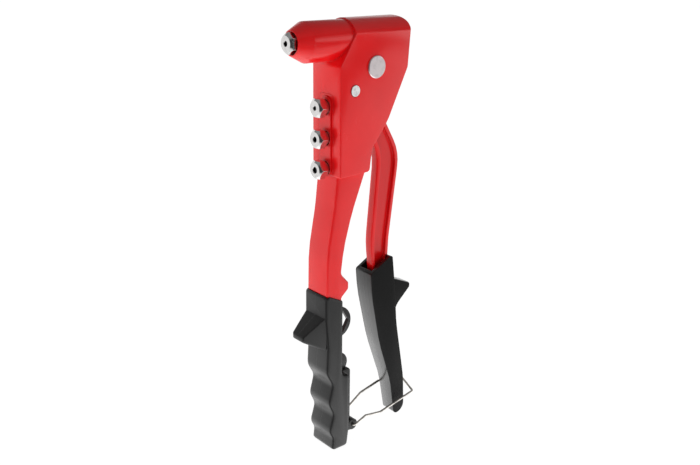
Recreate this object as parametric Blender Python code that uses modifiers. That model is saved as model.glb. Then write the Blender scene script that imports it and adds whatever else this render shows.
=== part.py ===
"""Hand riveter with a cast head and handle, a swinging lever and a wire bail, standing on its front grip.

Lengths are in metres. +X is the way the nose points, +Y the tool's left side and +Z up. Side outlines are
lists of corners (x, z, radius), measured from the point that their heading names.
"""
import math

import bmesh
import bpy
from mathutils import Matrix, Vector

# Placing: head's front face ahead of the origin, nose axis above the foot of the front grip
HEAD_FRONT_X = 0.0217
NOSE_AXIS_Z = 0.2497

# Clearances
CLEARANCE = 0.0003
SLOT_CLEARANCE = 0.0004
SEAT_GAP = 0.00015

# Facets
TURNED_STEPS = 40
SMALL_TURNED_STEPS = 24
ARC_STEP = math.radians(12.0)
FLAT_ANGLE = math.radians(0.1)

# Head: side outline from the front face and the nose axis, its crown an arc about a line below that axis
HEAD_WIDTH = 0.025
HEAD_EDGE = 0.0008
HEAD_DEPTH = 0.0521
CROWN_RADIUS = 0.0138
CROWN_DROP = 0.0019
CROWN_TOP = CROWN_RADIUS - CROWN_DROP
HEAD_OUTLINE = (
    (0.0, -0.0752, 0.0012),
    (0.0, -0.0132, 0.0025),
    (-0.0110, 0.0045, 0.0060),
    (-0.0110, CROWN_TOP, 0.0010),
    (-HEAD_DEPTH, CROWN_TOP, 0.0050),
    (-0.0499, -0.0166, 0.0040),
    (-0.0354, -0.0462, 0.0200),
    (-0.0238, -0.0610, 0.0060),
    (-0.0222, -0.0742, 0.0025),
)

# Barrel and cone, forward of the head's front face
BARREL_RADIUS = 0.01115
BARREL_LENGTH = 0.0163
BARREL_ROOT = 0.0200
CONE_LENGTH = 0.0077
CONE_END_RADIUS = 0.0072
BARREL_EDGE = 0.0005

# Recess in the front face around the spare nosepieces
RACK_WIDTH = 0.0130
RACK_DEPTH = 0.0006
RACK_TOP = 0.0285
RACK_LENGTH = 0.0490

# Handle of the casting: side outline from the front face and the nose axis
HANDLE_WIDTH = 0.0190
HANDLE_EDGE = 0.0012
HANDLE_WALL = 0.0032
HANDLE_TOP = 0.0600
HANDLE_FOOT = 0.2360
HANDLE_FRONT = (
    (-0.0010, -HANDLE_TOP, 0.0),
    (-0.0008, -0.0760, 0.0200),
    (0.0013, -0.0950, 0.0600),
    (0.0062, -0.1215, 0.0600),
    (0.0066, -0.1480, 0.0200),
    (0.0050, -0.1750, 0.0200),
    (0.0012, -0.2000, 0.0200),
    (0.0004, -HANDLE_FOOT, 0.0022),
)
HANDLE_REAR = (
    (-0.0058, -HANDLE_FOOT, 0.0022),
    (-0.0046, -0.1490, 0.0020),
    (-0.0099, -0.1445, 0.0020),
    (-0.0099, -0.1402, 0.0020),
    (-0.0042, -0.1340, 0.0040),
    (-0.0062, -0.1190, 0.0600),
    (-0.0120, -0.0985, 0.0800),
    (-0.0216, -0.0745, 0.0),
    (-0.0216, -HANDLE_TOP, 0.0),
)
CHANNEL_WIDTH = 0.0100
CHANNEL_TOP = 0.0860
CHANNEL_REACH = 0.0300

# Lever pivot, behind the front face and below the nose axis
PIVOT_SETBACK = 0.0253
PIVOT_DROP = 0.0147
PIVOT_PIN_RADIUS = 0.0040
PIVOT_HEAD_RADIUS = 0.0063
PIVOT_HEAD_PROUD = 0.0010
PIVOT_HEAD_EDGE = 0.0004

# Stop pin for the lever's heel
STOP_SETBACK = 0.0104
STOP_DROP = 0.0267
STOP_PIN_RADIUS = 0.0031
STOP_PIN_PROUD = 0.0004

# Lever: side outline from the pivot
LEVER_THICKNESS = 0.0060
LEVER_EDGE = 0.0007
LEVER_REST_LEAN = math.radians(5.0)
FINGER_RADIUS = 0.0045
LEVER_HEEL = (
    (0.0040, 0.0056, 0.0020),
    (0.0186, 0.0046, 0.0022),
    (0.0188, -0.0047, 0.0022),
    (0.0092, -0.0037, 0.0030),
)
LEVER_ARM_FRONT = (
    (0.0084, -0.0160, 0.0120),
    (-0.0121, -0.0529, 0.0300),
    (-0.0072, -0.1080, 0.0600),
    (-0.0122, -0.1480, 0.0600),
)
LEVER_FOOT = (
    (-0.0262, -0.2050, 0.0025),
    (-0.0330, -0.2050, 0.0025),
)
LEVER_ARM_REAR = (
    (-0.0222, -0.1480, 0.0600),
    (-0.0209, -0.1120, 0.0700),
    (-0.0286, -0.0540, 0.0260),
    (-0.0086, -0.0200, 0.0120),
    (-0.0080, 0.0012, 0.0040),
    (-0.0050, 0.0062, 0.0020),
)
LEVER_RIM = 0.0024
LEVER_RECESS_DEPTH = 0.0019
LEVER_RECESS_OUTLINE = (
    (0.0050, -0.0220, 0.0020),
    *LEVER_ARM_FRONT[1:3],
    (-0.0090, -0.1300, 0.0020),
    (-0.0212, -0.1300, 0.0020),
    *LEVER_ARM_REAR[1:3],
    (-0.0098, -0.0220, 0.0020),
)

# Slot in the head that the lever swings in: side outline from the pivot
LEVER_SLOT = (
    (0.0208, PIVOT_DROP, 0.0),
    (0.0208, -0.0110, 0.0020),
    (0.0175, -0.0165, 0.0020),
    (0.0118, -0.0185, 0.0040),
    (-0.0010, -0.0480, 0.0),
    (-0.0350, -0.0480, 0.0),
    (-0.0350, -0.0303, 0.0),
    (-0.0117, -0.0033, 0.0040),
    (-0.0117, PIVOT_DROP, 0.0),
)

# Nosepieces
NOSEPIECE_FLATS = 0.0100
NOSEPIECE_HEX_LENGTH = 0.0087
NOSEPIECE_FACE_RADIUS = 0.0037
NOSEPIECE_CHAMFER = 0.0015
NOSEPIECE_SHANK_RADIUS = 0.0040
NOSEPIECE_SHANK_LENGTH = 0.0070
FITTED_HOLE_RADIUS = 0.00145
SPARE_HOLE_RADII = (0.0012, 0.0016, 0.0018)
SPARE_NAMES = ("spare_nosepiece_top", "spare_nosepiece_middle", "spare_nosepiece_bottom")
SPARE_TOP_DROP = 0.0361
SPARE_PITCH = 0.0175
SPARE_HOLE_SPARE_DEPTH = 0.0010
NOSE_COUNTERBORE_RADIUS = 0.0062
NOSE_COUNTERBORE_DEPTH = 0.0054

# Jaws and draw rod, inside the bore along the nose axis, at the places that they have at rest
DRAW_RADIUS = 0.0065
BORE_CLEARANCE = 0.0005
JAW_CASE_FRONT = 0.0075
JAW_CASE_LENGTH = 0.0225
JAW_CASE_MOUTH_RADIUS = 0.0024
JAW_CASE_BORE_RADIUS = 0.0047
JAW_TAPER_LENGTH = 0.0085
JAW_LENGTH = 0.0065
JAW_SETBACK = 0.0010
JAW_BORE_RADIUS = 0.0008
JAW_SPLIT = 0.0006
PUSHER_LENGTH = 0.0026
PUSHER_BORE_RADIUS = 0.0016
PUSHER_NOSE_RADIUS = 0.0022
SPRING_WIRE = 0.0007
SPRING_RADIUS = 0.0034
SPRING_TURNS = 4.5
SPRING_LENGTH = 0.0060
SPRING_POINTS_PER_TURN = 10
DRAW_TUBE_BORE_RADIUS = 0.0018
LOCK_NUT_FLATS = 0.0110
LOCK_NUT_LENGTH = 0.0028
DRAW_TUBE_SEAT = 0.0010
DRAW_HEAD_LENGTH = 0.0185
NOTCH_FLARE = 0.0032
REAR_PLUG_LENGTH = 0.0065
REAR_PLUG_INSET = 0.0026
PLUG_SLOT_WIDTH = 0.0020
PLUG_SLOT_DEPTH = 0.0015

# Front grip: side outline from the front face and the nose axis
GRIP_WALL = 0.0008
GRIP_EDGE = 0.0022
GRIP_LEDGE = 0.2000
GRIP_FOOT = NOSE_AXIS_Z
GRIP_OUTLINE = (
    (0.0079, -0.1438, 0.0024),
    (0.0080, -0.1600, 0.0100),
    (0.0062, -0.1780, 0.0060),
    (0.0072, -0.1955, 0.0100),
    (0.0024, -0.2040, 0.0060),
    (0.0056, -0.2160, 0.0080),
    (0.0016, -0.2245, 0.0060),
    (0.0050, -0.2355, 0.0070),
    (0.0019, -0.2415, 0.0050),
    (0.0030, -GRIP_FOOT, 0.0026),
    (-0.0094, -GRIP_FOOT, 0.0026),
    (-0.0110, -0.2380, 0.0060),
    (-0.0107, -GRIP_LEDGE, 0.0024),
    (-0.0054, -GRIP_LEDGE, 0.0024),
    (-0.0054, -0.1502, 0.0024),
)
GUARD_ROOT_TOP = 0.1580
GUARD_ROOT_FOOT = 0.1805
GUARD_TIP_DROP = 0.1692
GUARD_TIP_HEIGHT = 0.0030
GUARD_REACH = 0.0213
GUARD_TIP_WIDTH = 0.0104
GUARD_ROOT_X = 0.0064
GUARD_EDGE = 0.0012
POCKET_WIDTH = 0.0064
POCKET_EDGE = 0.0010
POCKET_WALL = 0.0010
POCKET_FOOT = 0.2380

# Lever grip: side outline from the pivot
LEVER_GRIP_MOUTH_WIDTH = 0.0150
LEVER_GRIP_FOOT_WIDTH = 0.0100
LEVER_GRIP_EDGE = 0.0011
LEVER_GRIP_TOP = 0.1166
LEVER_GRIP_FOOT = 0.2309
LEVER_GRIP_OUTLINE = (
    (-0.0038, -0.1258, 0.0016),
    (-0.0050, -0.1400, 0.0600),
    (-0.0126, -0.1740, 0.0800),
    (-0.0235, -0.2050, 0.0400),
    (-0.0280, -LEVER_GRIP_FOOT, 0.0035),
    (-0.0369, -LEVER_GRIP_FOOT, 0.0060),
    (-0.0351, -0.2050, 0.0400),
    (-0.0268, -0.1640, 0.0600),
    (-0.0243, -0.1400, 0.0600),
    (-0.0210, -LEVER_GRIP_TOP, 0.0016),
)
MOUTH_WALL = 0.0022
MOUTH_DEPTH = 0.0070
MOUTH_CORNER = 0.0015
SPUR_WIDTH = 0.0100
SPUR_EDGE = 0.0011
SPUR_OUTLINE = (
    (-0.0210, -0.1330, 0.0),
    (-0.0272, -0.1350, 0.0040),
    (-0.0392, -0.1402, 0.0018),
    (-0.0392, -0.1432, 0.0018),
    (-0.0295, -0.1520, 0.0100),
    (-0.0245, -0.1600, 0.0),
    (-0.0210, -0.1600, 0.0),
)

# Spanner stored behind the handle: centres of its ring and tab from the front face and the nose axis
SPANNER_THICKNESS = 0.0024
SPANNER_NECK_THICKNESS = 0.0018
SPANNER_NECK_WIDTH = 0.0050
SPANNER_EDGE = 0.0004
SPANNER_FIT = 0.0002
RING_SETBACK = 0.0084
RING_DROP = 0.1689
RING_RADIUS = 0.0102
RING_FLATS = 0.0135
TAB_SETBACK = 0.0090
TAB_RISE = 0.0035
TAB_RADIUS = 0.0070

# Wire bail: hinge from the front face and the nose axis, arm points from the hinge
BAIL_HINGE_SETBACK = 0.0174
BAIL_HINGE_DROP = 0.2400
BAIL_WIRE = 0.0016
BAIL_BOSS_RADIUS = 0.0036
BAIL_BOSS_WIDTH = 0.0110
BAIL_END_REACH = 0.0035
BAIL_BEND = 0.0016
BAIL_NEAR_ARM = (
    (-0.0090, 0.0075, 0.0038),
    (-0.0211, 0.0080, 0.0022),
    (-0.0498, 0.0080, 0.0080),
)
BAIL_FAR_ARM = (
    (-0.0530, -0.0080, 0.0122),
    (-0.0331, -0.0080, 0.0142),
    (-0.0175, -0.0075, 0.0110),
)
BAIL_ROOT_SPREAD = 0.0072

# Finishes: colour, roughness, metallic
RED_PAINT = ((0.72, 0.045, 0.050), 0.28, 0.0)
BLACK_RUBBER = ((0.035, 0.035, 0.036), 0.50, 0.0)
BRIGHT_STEEL = ((0.78, 0.77, 0.76), 0.22, 1.0)
TOOL_STEEL = ((0.38, 0.37, 0.36), 0.38, 1.0)
BLACK_STEEL = ((0.030, 0.030, 0.032), 0.42, 0.6)
SPRING_STEEL = ((0.55, 0.54, 0.52), 0.30, 1.0)


for leftover in list(bpy.data.objects):
    bpy.data.objects.remove(leftover, do_unlink=True)

riveter = bpy.data.collections.new("hand_riveter")
cutters = bpy.data.collections.new("hand_riveter_cutters")
bpy.context.scene.collection.children.link(riveter)
bpy.context.scene.collection.children.link(cutters)


def anchor(name, x=0.0, z=0.0, parent=None):
    """An empty at a point of the side view."""
    empty = bpy.data.objects.new(name, None)
    empty.location = (x, 0.0, z)
    empty.parent = parent
    riveter.objects.link(empty)
    return empty


def finish(obj, name, look):
    """Name a sub-part, move it to the object's collection and give it its own material."""
    colour, roughness, metallic = look
    material = bpy.data.materials.new(name + "_finish")
    material.use_nodes = True
    shader = material.node_tree.nodes["Principled BSDF"]
    shader.inputs["Base Color"].default_value = (*colour, 1.0)
    shader.inputs["Roughness"].default_value = roughness
    shader.inputs["Metallic"].default_value = metallic
    obj.name = name
    obj.data.materials.append(material)
    cutters.objects.unlink(obj)
    riveter.objects.link(obj)
    obj.hide_render = False
    obj.display_type = "TEXTURED"
    obj.data.shade_smooth()
    obj.data.set_sharp_from_angle(angle=math.radians(35.0))
    return obj


def add_object(name, data, parent):
    """A new object among the cutters, where it stays unless it is finished as a sub-part."""
    obj = bpy.data.objects.new(name, data)
    obj.parent = parent
    obj.hide_render = True
    obj.display_type = "WIRE"
    cutters.objects.link(obj)
    return obj


def fillet(before, at, after, radius):
    """Points of the arc that rounds the corner at one point of a path."""
    back = (before - at).normalized()
    ahead = (after - at).normalized()
    turn = math.pi - back.angle(ahead)
    if radius <= 0.0 or turn < math.radians(0.5):
        return [at]
    cut = radius * math.tan(turn / 2.0)
    start = at + back * cut
    bisector = (back + ahead).normalized()
    centre = at + bisector * math.hypot(cut, radius)
    spoke = start - centre
    tangent = -back
    steps = max(1, math.ceil(turn / ARC_STEP))
    angles = [turn * step / steps for step in range(steps + 1)]
    return [centre + spoke * math.cos(angle) + tangent * radius * math.sin(angle) for angle in angles]


def rounded(corners):
    """A closed side outline from its corners (x, z, radius)."""
    places = [Vector((x, z, 0.0)) for x, z, radius in corners]
    points = []
    for index, corner in enumerate(corners):
        following = places[(index + 1) % len(places)]
        points += fillet(places[index - 1], places[index], following, corner[2])
    return points


def inset(corners, depth):
    """The corners of an outline moved inwards by one depth all round, for a clockwise outline."""
    places = [Vector((x, z)) for x, z, radius in corners]
    moved = []
    for index, corner in enumerate(corners):
        ahead = (places[(index + 1) % len(places)] - places[index]).normalized()
        behind = (places[index] - places[index - 1]).normalized()
        inward = Vector((ahead.y, -ahead.x)) + Vector((behind.y, -behind.x))
        spot = places[index] + inward * (depth / (1.0 + ahead.dot(behind)))
        moved.append((spot.x, spot.y, corner[2]))
    return moved


def weld(obj):
    """Close the seams of a mesh that came from a curve, and make each flat cap one face."""
    mesh = bmesh.new()
    mesh.from_mesh(obj.data)
    bmesh.ops.remove_doubles(mesh, verts=mesh.verts, dist=0.000001)
    bmesh.ops.dissolve_limit(mesh, angle_limit=FLAT_ANGLE, verts=mesh.verts, edges=mesh.edges)
    bmesh.ops.recalc_face_normals(mesh, faces=mesh.faces)
    mesh.to_mesh(obj.data)
    mesh.free()


def mesh_from_curve(name, curve, parent):
    """Turn a curve into a closed mesh object."""
    drawn = add_object(name + "_curve", curve, parent)
    bpy.context.view_layer.update()
    depsgraph = bpy.context.evaluated_depsgraph_get()
    mesh = bpy.data.meshes.new_from_object(drawn.evaluated_get(depsgraph))
    bpy.data.objects.remove(drawn, do_unlink=True)
    obj = add_object(name, mesh, parent)
    weld(obj)
    return obj


def plate(name, corners, width, parent, x=0.0, z=0.0):
    """A flat piece of one width across Y, with the side outline of its corners."""
    curve = bpy.data.curves.new(name, "CURVE")
    curve.dimensions = "2D"
    curve.fill_mode = "BOTH"
    curve.extrude = width / 2.0
    points = rounded(corners)
    spline = curve.splines.new("POLY")
    spline.points.add(len(points) - 1)
    for spot, point in zip(spline.points, points):
        spot.co = (point.x, point.y, 0.0, 1.0)
    spline.use_cyclic_u = True
    obj = mesh_from_curve(name, curve, parent)
    obj.location = (x, 0.0, z)
    obj.rotation_euler = (math.pi / 2.0, 0.0, 0.0)
    return obj


def turned(name, profile, parent, hollow=False, steps=TURNED_STEPS):
    """A turned piece from its profile (radius, height), outer side first and from top to bottom."""
    mesh = bpy.data.meshes.new(name)
    spots = [(radius, 0.0, height) for radius, height in profile]
    links = [(index, index + 1) for index in range(len(spots) - 1)]
    if hollow:
        links.append((len(spots) - 1, 0))
    mesh.from_pydata(spots, links, [])
    obj = add_object(name, mesh, parent)
    spin = obj.modifiers.new("spin", "SCREW")
    spin.axis = "Z"
    spin.steps = steps
    spin.render_steps = steps
    spin.use_merge_vertices = True
    spin.merge_threshold = 0.00001
    return obj


def along_nose(obj, x=0.0, z=0.0):
    """Lay a turned piece along the nose, its top forward."""
    obj.location = (x, 0.0, z)
    obj.rotation_euler = (0.0, math.pi / 2.0, 0.0)
    return obj


def across(obj, x=0.0, z=0.0):
    """Lay a turned piece across the tool, its top to the left side."""
    obj.location = (x, 0.0, z)
    obj.rotation_euler = (-math.pi / 2.0, 0.0, 0.0)
    return obj


def rod(name, radius, length, parent, steps=TURNED_STEPS):
    """A plain round bar, centred on its origin."""
    half = length / 2.0
    return turned(name, [(0.0, half), (radius, half), (radius, -half), (0.0, -half)], parent, steps=steps)


def hex_bar(name, flats, length, parent):
    """A six-sided bar, centred on its origin."""
    mesh = bmesh.new()
    radius = flats / 2.0 / math.cos(math.pi / 6.0)
    bmesh.ops.create_cone(
        mesh, cap_ends=True, segments=6, radius1=radius, radius2=radius, depth=length
    )
    bmesh.ops.rotate(mesh, verts=mesh.verts, matrix=Matrix.Rotation(math.pi / 6.0, 3, "Z"))
    data = bpy.data.meshes.new(name)
    mesh.to_mesh(data)
    mesh.free()
    return add_object(name, data, parent)


def block(name, size, parent, x=0.0, z=0.0):
    """A box, centred on its origin."""
    mesh = bmesh.new()
    bmesh.ops.create_cube(mesh, size=1.0)
    bmesh.ops.scale(mesh, vec=size, verts=mesh.verts)
    data = bpy.data.meshes.new(name)
    mesh.to_mesh(data)
    mesh.free()
    obj = add_object(name, data, parent)
    obj.location = (x, 0.0, z)
    return obj


def combine(obj, other, operation):
    """Join, cut or intersect a piece with another."""
    change = obj.modifiers.new(other.name, "BOOLEAN")
    change.operation = operation
    change.solver = "EXACT"
    change.object = other


def soften(obj, width, segments=2):
    """Round the sharp edges of a piece."""
    edge = obj.modifiers.new("edges", "BEVEL")
    edge.width = width
    edge.segments = segments
    edge.limit_method = "ANGLE"
    edge.angle_limit = math.radians(40.0)


def wire(name, points, diameter, parent, resolution):
    """A round wire with closed ends along a list of points."""
    curve = bpy.data.curves.new(name, "CURVE")
    curve.dimensions = "3D"
    curve.bevel_depth = diameter / 2.0
    curve.bevel_resolution = resolution
    curve.use_fill_caps = True
    spline = curve.splines.new("POLY")
    spline.points.add(len(points) - 1)
    for spot, point in zip(spline.points, points):
        spot.co = (*point, 1.0)
    return mesh_from_curve(name, curve, parent)


# Anchors: the head's reference point and the axes of what moves
head_point = anchor("head_point", HEAD_FRONT_X, NOSE_AXIS_Z)
lever_pivot = anchor("lever_pivot", -PIVOT_SETBACK, -PIVOT_DROP, head_point)
bail_hinge = anchor("bail_hinge", -BAIL_HINGE_SETBACK, -BAIL_HINGE_DROP, head_point)

# Sizes that several pieces share
BORE_RADIUS = DRAW_RADIUS + BORE_CLEARANCE
NOSE_END = BARREL_LENGTH + CONE_LENGTH
NOSEPIECE_SEAT = NOSE_END - NOSE_COUNTERBORE_DEPTH
THREAD_HOLE_RADIUS = NOSEPIECE_SHANK_RADIUS + CLEARANCE
NOSE_WALL_REAR = NOSEPIECE_SEAT - NOSEPIECE_SHANK_LENGTH
FINGER_REACH = PIVOT_DROP / math.cos(LEVER_REST_LEAN)
FINGER_TIP_X = -PIVOT_SETBACK - PIVOT_DROP * math.tan(LEVER_REST_LEAN)
TAB_DROP = GRIP_LEDGE - TAB_RISE
POCKET_REAR = TAB_SETBACK + TAB_RADIUS + CLEARANCE + POCKET_WALL
HANDLE_OUTLINE = HANDLE_FRONT + HANDLE_REAR


def shifted(corners, x):
    """An outline's corners moved along X."""
    return tuple((corner[0] + x, corner[1], corner[2]) for corner in corners)


def head_and_barrel():
    """Head with its round crown, and the barrel that runs forward from it."""
    head = plate("head", HEAD_OUTLINE, HEAD_WIDTH, head_point)
    soften(head, HEAD_EDGE)
    length = HEAD_DEPTH + BARREL_LENGTH
    foot = -2.0 * HANDLE_TOP
    crown = plate(
        "crown",
        (
            (-CROWN_RADIUS, foot, 0.0),
            (-CROWN_RADIUS, CROWN_TOP, CROWN_RADIUS),
            (CROWN_RADIUS, CROWN_TOP, CROWN_RADIUS),
            (CROWN_RADIUS, foot, 0.0),
        ),
        2.0 * length,
        head_point,
    )
    crown.rotation_euler = (math.pi / 2.0, 0.0, math.pi / 2.0)
    combine(head, crown, "INTERSECT")
    barrel = turned(
        "barrel",
        [
            (0.0, NOSE_END),
            (CONE_END_RADIUS - BARREL_EDGE, NOSE_END),
            (CONE_END_RADIUS, NOSE_END - BARREL_EDGE),
            (BARREL_RADIUS - BARREL_EDGE, BARREL_LENGTH + BARREL_EDGE),
            (BARREL_RADIUS, BARREL_LENGTH - BARREL_EDGE),
            (BARREL_RADIUS, -BARREL_ROOT),
            (0.0, -BARREL_ROOT),
        ],
        head_point,
    )
    combine(head, along_nose(barrel), "UNION")
    return head


def body_casting():
    """Head, barrel and fixed handle in one casting, with its bores, slot, rack recess and channel."""
    casting = head_and_barrel()
    handle = plate("handle", HANDLE_OUTLINE, HANDLE_WIDTH, head_point)
    soften(handle, HANDLE_EDGE, 3)
    combine(casting, handle, "UNION")

    bore = turned(
        "bore",
        [
            (0.0, NOSE_END + CLEARANCE),
            (NOSE_COUNTERBORE_RADIUS, NOSE_END + CLEARANCE),
            (NOSE_COUNTERBORE_RADIUS, NOSEPIECE_SEAT),
            (THREAD_HOLE_RADIUS, NOSEPIECE_SEAT),
            (THREAD_HOLE_RADIUS, NOSE_WALL_REAR),
            (BORE_RADIUS, NOSE_WALL_REAR),
            (BORE_RADIUS, -2.0 * HEAD_DEPTH),
            (0.0, -2.0 * HEAD_DEPTH),
        ],
        head_point,
    )
    combine(casting, along_nose(bore), "DIFFERENCE")

    slot_width = LEVER_THICKNESS + 2.0 * SLOT_CLEARANCE
    combine(casting, plate("lever_slot", LEVER_SLOT, slot_width, lever_pivot), "DIFFERENCE")

    pivot_hole = rod("pivot_hole", PIVOT_PIN_RADIUS + CLEARANCE, 2.0 * HEAD_WIDTH, lever_pivot)
    combine(casting, across(pivot_hole), "DIFFERENCE")
    stop_hole = rod("stop_hole", STOP_PIN_RADIUS + CLEARANCE, 2.0 * HEAD_WIDTH, head_point, SMALL_TURNED_STEPS)
    combine(casting, across(stop_hole, -STOP_SETBACK, -STOP_DROP), "DIFFERENCE")

    rack_half = RACK_WIDTH / 2.0
    rack = plate(
        "rack",
        (
            (-rack_half, -RACK_LENGTH, 0.0),
            (-rack_half, 0.0, rack_half / 2.0),
            (rack_half, 0.0, rack_half / 2.0),
            (rack_half, -RACK_LENGTH, 0.0),
        ),
        2.0 * RACK_DEPTH,
        head_point,
        z=-RACK_TOP,
    )
    rack.rotation_euler = (math.pi / 2.0, 0.0, math.pi / 2.0)
    combine(casting, rack, "DIFFERENCE")
    hole_depth = RACK_DEPTH + NOSEPIECE_SHANK_LENGTH + SPARE_HOLE_SPARE_DEPTH
    for index, name in enumerate(SPARE_NAMES):
        hole = rod(name + "_hole", THREAD_HOLE_RADIUS, 2.0 * hole_depth, head_point, SMALL_TURNED_STEPS)
        combine(casting, along_nose(hole, z=-SPARE_TOP_DROP - index * SPARE_PITCH), "DIFFERENCE")

    floor = shifted(HANDLE_FRONT[1:], -HANDLE_WALL)
    channel_outline = (
        (floor[0][0], -CHANNEL_TOP, 0.0),
        *floor[1:-1],
        (floor[-1][0], -2.0 * HANDLE_FOOT, 0.0),
        (-CHANNEL_REACH, -2.0 * HANDLE_FOOT, 0.0),
        (-CHANNEL_REACH, -CHANNEL_TOP, 0.0),
    )
    combine(casting, plate("channel", channel_outline, CHANNEL_WIDTH, head_point), "DIFFERENCE")
    return finish(casting, "body_casting", RED_PAINT)


def nosepiece(name, seat_x, z, hole_radius):
    """A hexagon-headed nosepiece with its threaded shank and mandrel hole, its seat at one place."""
    length = NOSEPIECE_HEX_LENGTH
    across_corners = NOSEPIECE_FLATS / 2.0 / math.cos(math.pi / 6.0)
    piece = hex_bar(name, NOSEPIECE_FLATS, length, head_point)
    piece.location = (seat_x + SEAT_GAP + length / 2.0, 0.0, z)
    piece.rotation_euler = (0.0, math.pi / 2.0, 0.0)
    turning = turned(
        name + "_turning",
        [
            (0.0, length),
            (NOSEPIECE_FACE_RADIUS, length),
            (across_corners + CLEARANCE, length - NOSEPIECE_CHAMFER),
            (across_corners + CLEARANCE, -NOSEPIECE_CHAMFER),
            (0.0, -NOSEPIECE_CHAMFER),
        ],
        head_point,
        steps=SMALL_TURNED_STEPS,
    )
    combine(piece, along_nose(turning, seat_x + SEAT_GAP, z), "INTERSECT")
    shank_length = NOSEPIECE_SHANK_LENGTH + length / 2.0
    shank = rod(name + "_shank", NOSEPIECE_SHANK_RADIUS, shank_length, head_point, SMALL_TURNED_STEPS)
    shank_x = seat_x + length / 2.0 - shank_length / 2.0
    combine(piece, along_nose(shank, shank_x, z), "UNION")
    hole = rod(name + "_mandrel_hole", hole_radius, 4.0 * length, head_point, SMALL_TURNED_STEPS)
    combine(piece, along_nose(hole, seat_x, z), "DIFFERENCE")
    return finish(piece, name, BRIGHT_STEEL)


def nosepieces():
    """The fitted nosepiece and the three spares in the rack."""
    nosepiece("fitted_nosepiece", NOSEPIECE_SEAT, 0.0, FITTED_HOLE_RADIUS)
    for index, name in enumerate(SPARE_NAMES):
        drop = SPARE_TOP_DROP + index * SPARE_PITCH
        nosepiece(name, -RACK_DEPTH, -drop, SPARE_HOLE_RADII[index])


def lever_outline():
    """Corners of the lever, clockwise from the tip of the finger that works the draw rod."""
    along = Vector((-math.sin(LEVER_REST_LEAN), math.cos(LEVER_REST_LEAN)))
    side = Vector((along.y, -along.x))
    end = along * (FINGER_REACH + FINGER_RADIUS)
    finger = [end - side * FINGER_RADIUS, end + side * FINGER_RADIUS]
    round_tip = FINGER_RADIUS - SEAT_GAP
    tip = tuple((spot.x, spot.y, round_tip) for spot in finger)
    return tip + LEVER_HEEL + LEVER_ARM_FRONT + LEVER_FOOT + LEVER_ARM_REAR


def lever():
    """Lever with a finger, a heel for the stop pin and an arm with a recess in each side."""
    piece = plate("lever_plate", lever_outline(), LEVER_THICKNESS, lever_pivot)
    soften(piece, LEVER_EDGE)
    for side in (-1.0, 1.0):
        recess = plate(
            "lever_recess",
            inset(LEVER_RECESS_OUTLINE, LEVER_RIM),
            2.0 * LEVER_RECESS_DEPTH,
            lever_pivot,
        )
        recess.location.y = side * LEVER_THICKNESS / 2.0
        combine(piece, recess, "DIFFERENCE")
    hole = rod("lever_hole", PIVOT_PIN_RADIUS + CLEARANCE, 2.0 * LEVER_THICKNESS, lever_pivot)
    combine(piece, across(hole), "DIFFERENCE")
    return finish(piece, "lever", RED_PAINT)


def pins():
    """Pivot rivet of the lever and stop pin of its heel."""
    seat = HEAD_WIDTH / 2.0 + SEAT_GAP
    face = seat + PIVOT_HEAD_PROUD
    brim = PIVOT_HEAD_RADIUS - PIVOT_HEAD_EDGE
    half = [
        (0.0, face),
        (brim, face),
        (PIVOT_HEAD_RADIUS, face - PIVOT_HEAD_EDGE),
        (PIVOT_HEAD_RADIUS, seat),
        (PIVOT_PIN_RADIUS, seat),
    ]
    mirrored = [(radius, -height) for radius, height in reversed(half)]
    pivot = turned("pivot", half + mirrored, lever_pivot)
    finish(across(pivot), "pivot_rivet", BRIGHT_STEEL)

    length = HEAD_WIDTH + 2.0 * STOP_PIN_PROUD
    stop = rod("stop", STOP_PIN_RADIUS, length, head_point, SMALL_TURNED_STEPS)
    finish(across(stop, -STOP_SETBACK, -STOP_DROP), "stop_pin", BRIGHT_STEEL)


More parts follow.
